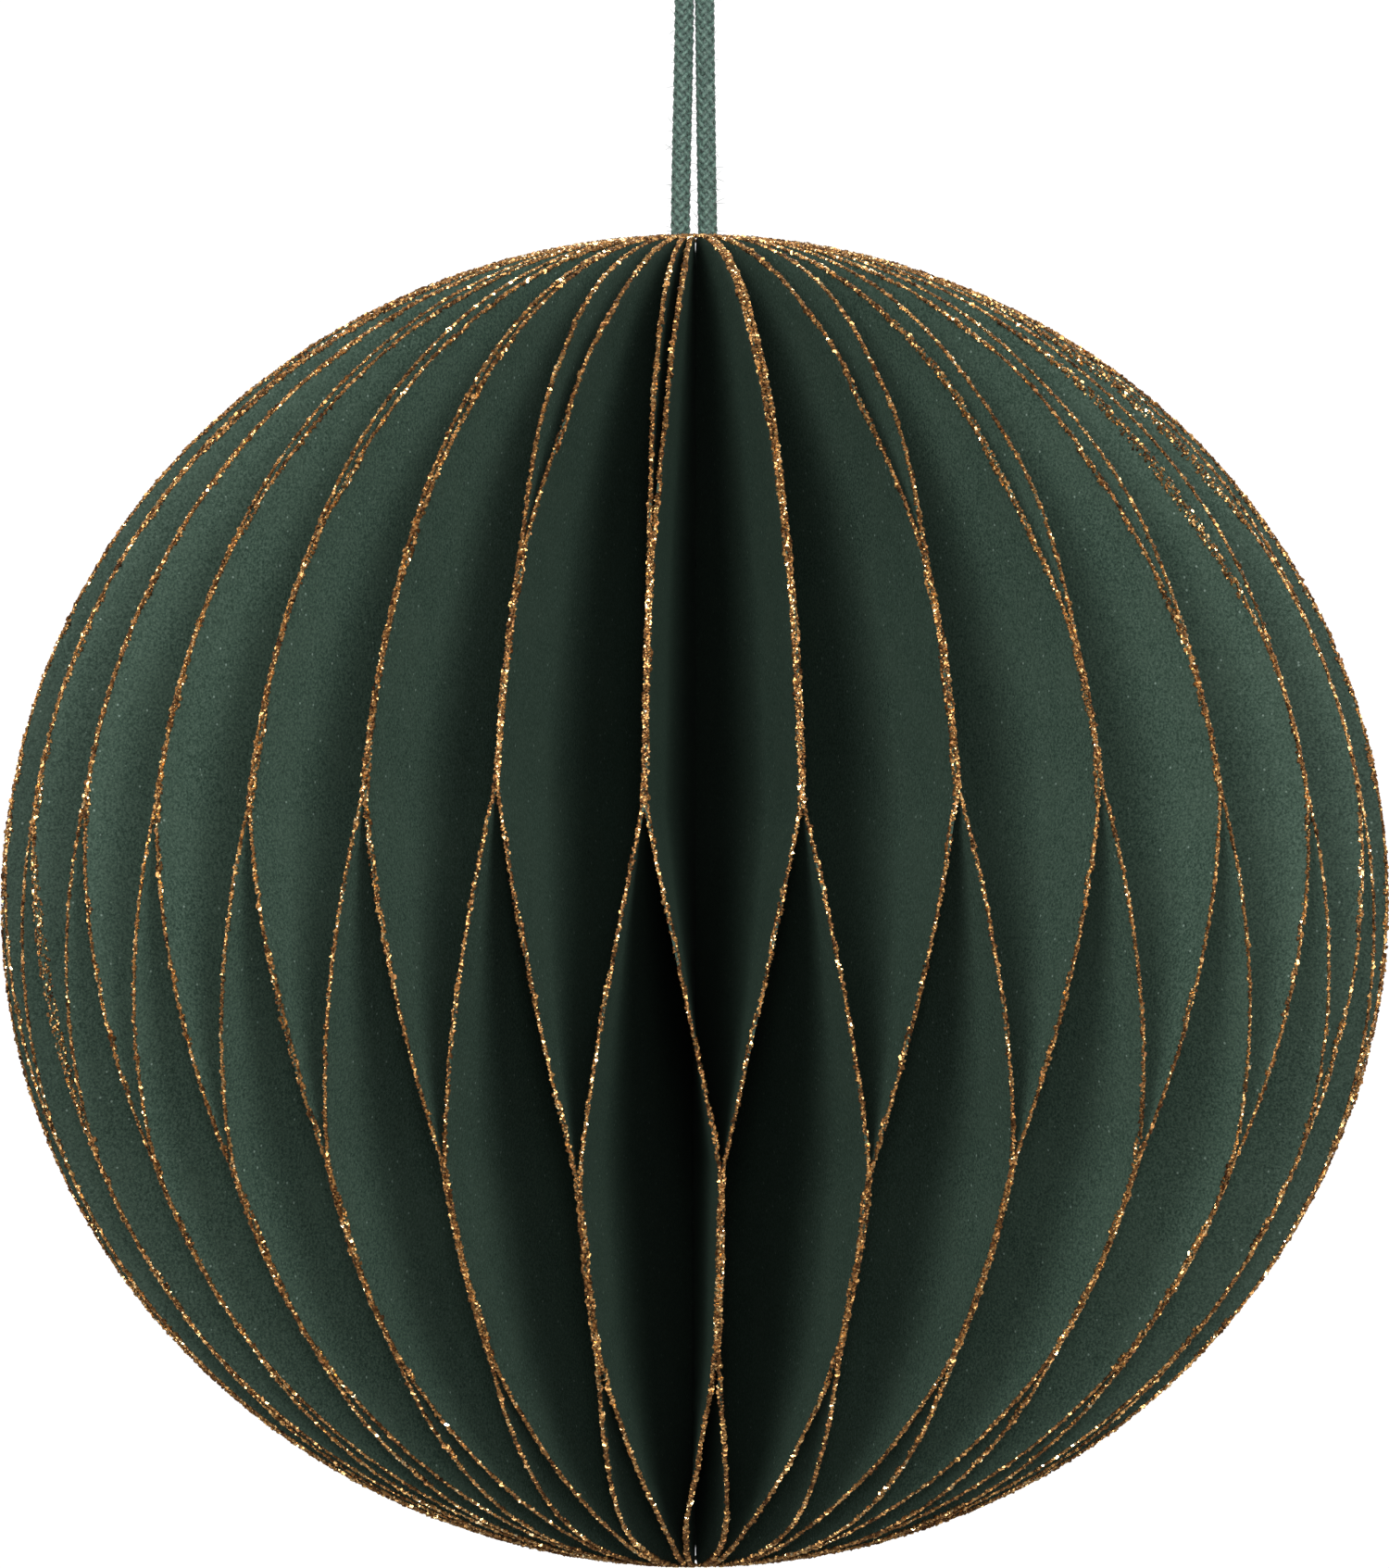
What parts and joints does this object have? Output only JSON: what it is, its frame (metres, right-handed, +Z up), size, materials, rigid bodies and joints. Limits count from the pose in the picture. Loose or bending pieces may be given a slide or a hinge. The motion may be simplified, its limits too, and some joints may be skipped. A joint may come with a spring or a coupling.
{
  "type": "paper honeycomb ball",
  "caption": "Hanging ball made of glued pairs of half-oval paper leaves round a hollow spine; it opens like a fan to a full turn, folds flat, and hangs on a doubled cord.",
  "frame": {"origin": "where a hook bears on the inner top of the cord's eye, above the ball", "axes": "+Z up along the spine, which is the shortest way across the ball; -Y is the ball's front and +Y the side where its two covers meet"},
  "size_m": [0.1499, 0.15, 0.226],
  "materials": {
    "leaf_paper": "matte soft-touch dark green paper",
    "edge_glitter": "copper and gold glitter glued on the cut edges",
    "cover_board": "board covered in the same matte green paper",
    "magnet": "nickel-plated magnet",
    "cord": "braided cotton cord, teal green"
  },
  "bodies": {
    "middle": {"leaf_pair_15": "leaf_paper", "hanging_cord": "cord", "cord_knot": "cord"},
    "fan_01": {"leaf_pair_01": "leaf_paper"},
    "fan_02": {"leaf_pair_02": "leaf_paper"},
    "fan_03": {"leaf_pair_03": "leaf_paper"},
    "fan_04": {"leaf_pair_04": "leaf_paper"},
    "fan_05": {"leaf_pair_05": "leaf_paper"},
    "fan_06": {"leaf_pair_06": "leaf_paper"},
    "fan_07": {"leaf_pair_07": "leaf_paper"},
    "fan_08": {"leaf_pair_08": "leaf_paper"},
    "fan_09": {"leaf_pair_09": "leaf_paper"},
    "fan_10": {"leaf_pair_10": "leaf_paper"},
    "fan_11": {"leaf_pair_11": "leaf_paper"},
    "fan_12": {"leaf_pair_12": "leaf_paper"},
    "fan_13": {"leaf_pair_13": "leaf_paper"},
    "fan_14": {"leaf_pair_14": "leaf_paper"},
    "fan_16": {"leaf_pair_16": "leaf_paper"},
    "fan_17": {"leaf_pair_17": "leaf_paper"},
    "fan_18": {"leaf_pair_18": "leaf_paper"},
    "fan_19": {"leaf_pair_19": "leaf_paper"},
    "fan_20": {"leaf_pair_20": "leaf_paper"},
    "fan_21": {"leaf_pair_21": "leaf_paper"},
    "fan_22": {"leaf_pair_22": "leaf_paper"},
    "fan_23": {"leaf_pair_23": "leaf_paper"},
    "fan_24": {"leaf_pair_24": "leaf_paper"},
    "fan_25": {"leaf_pair_25": "leaf_paper"},
    "fan_26": {"leaf_pair_26": "leaf_paper"},
    "fan_27": {"leaf_pair_27": "leaf_paper"},
    "fan_28": {"leaf_pair_28": "leaf_paper"},
    "fan_29": {"leaf_pair_29": "leaf_paper"},
    "fan_30": {"leaf_pair_30": "leaf_paper"},
    "cover_left": {"facing_leaf_left": "leaf_paper", "cover_board_left": "cover_board", "magnets_left": "magnet"},
    "cover_right": {"facing_leaf_right": "leaf_paper", "cover_board_right": "cover_board", "magnets_right": "magnet"}
  },
  "joints": [
    {"name": "fold_flat", "type": "hinge", "parent": "middle", "child": "fan_16", "pos_m": [0.00011, -0.00281, -0.152], "axis": [0, 0, -1], "range_deg": [0, 12.24], "deforming": ["leaf_pair_15", "leaf_pair_16"]},
    {"name": "cell_16", "type": "hinge", "parent": "fan_16", "child": "fan_17", "pos_m": [0.00069, -0.00263, -0.152], "axis": [0, 0, -1], "range_deg": [0, 12.66], "deforming": ["leaf_pair_16", "leaf_pair_17"]},
    {"name": "cell_17", "type": "hinge", "parent": "fan_17", "child": "fan_18", "pos_m": [0.00123, -0.00237, -0.152], "axis": [0, 0, -1], "range_deg": [0, 12.92], "deforming": ["leaf_pair_17", "leaf_pair_18"]},
    {"name": "cell_18", "type": "hinge", "parent": "fan_18", "child": "fan_19", "pos_m": [0.00172, -0.00202, -0.152], "axis": [0, 0, -1], "range_deg": [0, 12.96], "deforming": ["leaf_pair_18", "leaf_pair_19"]},
    {"name": "cell_19", "type": "hinge", "parent": "fan_19", "child": "fan_20", "pos_m": [0.00216, -0.00161, -0.152], "axis": [0, 0, -1], "range_deg": [0, 12.77], "deforming": ["leaf_pair_19", "leaf_pair_20"]},
    {"name": "cell_20", "type": "hinge", "parent": "fan_20", "child": "fan_21", "pos_m": [0.00254, -0.00114, -0.152], "axis": [0, 0, -1], "range_deg": [0, 12.38], "deforming": ["leaf_pair_20", "leaf_pair_21"]},
    {"name": "cell_21", "type": "hinge", "parent": "fan_21", "child": "fan_22", "pos_m": [0.00284, -0.0006, -0.152], "axis": [0, 0, -1], "range_deg": [0, 11.86], "deforming": ["leaf_pair_21", "leaf_pair_22"]},
    {"name": "cell_22", "type": "hinge", "parent": "fan_22", "child": "fan_23", "pos_m": [0.00305, -0.00002, -0.152], "axis": [0, 0, -1], "range_deg": [0, 11.3], "deforming": ["leaf_pair_22", "leaf_pair_23"]},
    {"name": "cell_23", "type": "hinge", "parent": "fan_23", "child": "fan_24", "pos_m": [0.00313, 0.00059, -0.152], "axis": [0, 0, -1], "range_deg": [0, 10.8], "deforming": ["leaf_pair_23", "leaf_pair_24"]},
    {"name": "cell_24", "type": "hinge", "parent": "fan_24", "child": "fan_25", "pos_m": [0.00307, 0.00119, -0.152], "axis": [0, 0, -1], "range_deg": [0, 10.46], "deforming": ["leaf_pair_24", "leaf_pair_25"]},
    {"name": "cell_25", "type": "hinge", "parent": "fan_25", "child": "fan_26", "pos_m": [0.00284, 0.00175, -0.152], "axis": [0, 0, -1], "range_deg": [0, 10.32], "deforming": ["leaf_pair_25", "leaf_pair_26"]},
    {"name": "cell_26", "type": "hinge", "parent": "fan_26", "child": "fan_27", "pos_m": [0.00245, 0.00221, -0.152], "axis": [0, 0, -1], "range_deg": [0, 10.44], "deforming": ["leaf_pair_26", "leaf_pair_27"]},
    {"name": "cell_27", "type": "hinge", "parent": "fan_27", "child": "fan_28", "pos_m": [0.00193, 0.00253, -0.152], "axis": [0, 0, -1], "range_deg": [0, 10.8], "deforming": ["leaf_pair_27", "leaf_pair_28"]},
    {"name": "cell_28", "type": "hinge", "parent": "fan_28", "child": "fan_29", "pos_m": [0.00134, 0.00272, -0.152], "axis": [0, 0, -1], "range_deg": [0, 11.35], "deforming": ["leaf_pair_28", "leaf_pair_29"]},
    {"name": "cell_29", "type": "hinge", "parent": "fan_29", "child": "fan_30", "pos_m": [0.00072, 0.00278, -0.152], "axis": [0, 0, -1], "range_deg": [0, 12], "deforming": ["leaf_pair_29", "leaf_pair_30"]},
    {"name": "cover_right_hinge", "type": "hinge", "parent": "fan_30", "child": "cover_right", "pos_m": [0.00081, 0.01004, -0.152], "axis": [0, 0, -1], "range_deg": [0, 7.97], "deforming": ["leaf_pair_30", "facing_leaf_right"]},
    {"name": "cell_14", "type": "hinge", "parent": "middle", "child": "fan_14", "pos_m": [-0.0005, -0.00289, -0.152], "axis": [0, 0, 1], "range_deg": [0, 11.73], "deforming": ["leaf_pair_15", "leaf_pair_14"]},
    {"name": "cell_13", "type": "hinge", "parent": "fan_14", "child": "fan_13", "pos_m": [-0.00111, -0.00286, -0.152], "axis": [0, 0, 1], "range_deg": [0, 11.22], "deforming": ["leaf_pair_14", "leaf_pair_13"]},
    {"name": "cell_12", "type": "hinge", "parent": "fan_13", "child": "fan_12", "pos_m": [-0.0017, -0.00269, -0.152], "axis": [0, 0, 1], "range_deg": [0, 10.82], "deforming": ["leaf_pair_13", "leaf_pair_12"]},
    {"name": "cell_11", "type": "hinge", "parent": "fan_12", "child": "fan_11", "pos_m": [-0.00221, -0.00238, -0.152], "axis": [0, 0, 1], "range_deg": [0, 10.59], "deforming": ["leaf_pair_12", "leaf_pair_11"]},
    {"name": "cell_10", "type": "hinge", "parent": "fan_11", "child": "fan_10", "pos_m": [-0.00261, -0.00193, -0.152], "axis": [0, 0, 1], "range_deg": [0, 10.6], "deforming": ["leaf_pair_11", "leaf_pair_10"]},
    {"name": "cell_09", "type": "hinge", "parent": "fan_10", "child": "fan_09", "pos_m": [-0.00286, -0.00138, -0.152], "axis": [0, 0, 1], "range_deg": [0, 10.85], "deforming": ["leaf_pair_10", "leaf_pair_09"]},
    {"name": "cell_08", "type": "hinge", "parent": "fan_09", "child": "fan_08", "pos_m": [-0.00295, -0.00077, -0.152], "axis": [0, 0, 1], "range_deg": [0, 11.3], "deforming": ["leaf_pair_09", "leaf_pair_08"]},
    {"name": "cell_07", "type": "hinge", "parent": "fan_08", "child": "fan_07", "pos_m": [-0.00289, -0.00016, -0.152], "axis": [0, 0, 1], "range_deg": [0, 11.89], "deforming": ["leaf_pair_08", "leaf_pair_07"]},
    {"name": "cell_06", "type": "hinge", "parent": "fan_07", "child": "fan_06", "pos_m": [-0.00272, 0.00044, -0.152], "axis": [0, 0, 1], "range_deg": [0, 12.52], "deforming": ["leaf_pair_07", "leaf_pair_06"]},
    {"name": "cell_05", "type": "hinge", "parent": "fan_06", "child": "fan_05", "pos_m": [-0.00244, 0.00098, -0.152], "axis": [0, 0, 1], "range_deg": [0, 13.1], "deforming": ["leaf_pair_06", "leaf_pair_05"]},
    {"name": "cell_04", "type": "hinge", "parent": "fan_05", "child": "fan_04", "pos_m": [-0.00208, 0.00147, -0.152], "axis": [0, 0, 1], "range_deg": [0, 13.52], "deforming": ["leaf_pair_05", "leaf_pair_04"]},
    {"name": "cell_03", "type": "hinge", "parent": "fan_04", "child": "fan_03", "pos_m": [-0.00165, 0.00189, -0.152], "axis": [0, 0, 1], "range_deg": [0, 13.71], "deforming": ["leaf_pair_04", "leaf_pair_03"]},
    {"name": "cell_02", "type": "hinge", "parent": "fan_03", "child": "fan_02", "pos_m": [-0.00116, 0.00224, -0.152], "axis": [0, 0, 1], "range_deg": [0, 13.65], "deforming": ["leaf_pair_03", "leaf_pair_02"]},
    {"name": "cell_01", "type": "hinge", "parent": "fan_02", "child": "fan_01", "pos_m": [-0.00062, 0.00251, -0.152], "axis": [0, 0, 1], "range_deg": [0, 13.33], "deforming": ["leaf_pair_02", "leaf_pair_01"]},
    {"name": "cover_left_hinge", "type": "hinge", "parent": "fan_01", "child": "cover_left", "pos_m": [-0.00059, 0.01005, -0.152], "axis": [0, 0, 1], "range_deg": [0, 7.97], "deforming": ["leaf_pair_01", "facing_leaf_left"]}
  ],
  "couplings": [
    {"joint": "cell_16", "follows": "fold_flat", "ratio": 1.0347},
    {"joint": "cell_17", "follows": "fold_flat", "ratio": 1.0556},
    {"joint": "cell_18", "follows": "fold_flat", "ratio": 1.0587},
    {"joint": "cell_19", "follows": "fold_flat", "ratio": 1.0431},
    {"joint": "cell_20", "follows": "fold_flat", "ratio": 1.0114},
    {"joint": "cell_21", "follows": "fold_flat", "ratio": 0.96905},
    {"joint": "cell_22", "follows": "fold_flat", "ratio": 0.92339},
    {"joint": "cell_23", "follows": "fold_flat", "ratio": 0.88258},
    {"joint": "cell_24", "follows": "fold_flat", "ratio": 0.8541},
    {"joint": "cell_25", "follows": "fold_flat", "ratio": 0.84344},
    {"joint": "cell_26", "follows": "fold_flat", "ratio": 0.85316},
    {"joint": "cell_27", "follows": "fold_flat", "ratio": 0.88243},
    {"joint": "cell_28", "follows": "fold_flat", "ratio": 0.9271},
    {"joint": "cell_29", "follows": "fold_flat", "ratio": 0.98043},
    {"joint": "cover_right_hinge", "follows": "fold_flat", "ratio": 0.65128},
    {"joint": "cell_14", "follows": "fold_flat", "ratio": 0.95804},
    {"joint": "cell_13", "follows": "fold_flat", "ratio": 0.91663},
    {"joint": "cell_12", "follows": "fold_flat", "ratio": 0.88362},
    {"joint": "cell_11", "follows": "fold_flat", "ratio": 0.86545},
    {"joint": "cell_10", "follows": "fold_flat", "ratio": 0.86607},
    {"joint": "cell_09", "follows": "fold_flat", "ratio": 0.88618},
    {"joint": "cell_08", "follows": "fold_flat", "ratio": 0.92313},
    {"joint": "cell_07", "follows": "fold_flat", "ratio": 0.9713},
    {"joint": "cell_06", "follows": "fold_flat", "ratio": 1.023},
    {"joint": "cell_05", "follows": "fold_flat", "ratio": 1.0699},
    {"joint": "cell_04", "follows": "fold_flat", "ratio": 1.1042},
    {"joint": "cell_03", "follows": "fold_flat", "ratio": 1.1202},
    {"joint": "cell_02", "follows": "fold_flat", "ratio": 1.115},
    {"joint": "cell_01", "follows": "fold_flat", "ratio": 1.0892},
    {"joint": "cover_left_hinge", "follows": "fold_flat", "ratio": 0.65128}
  ]
}
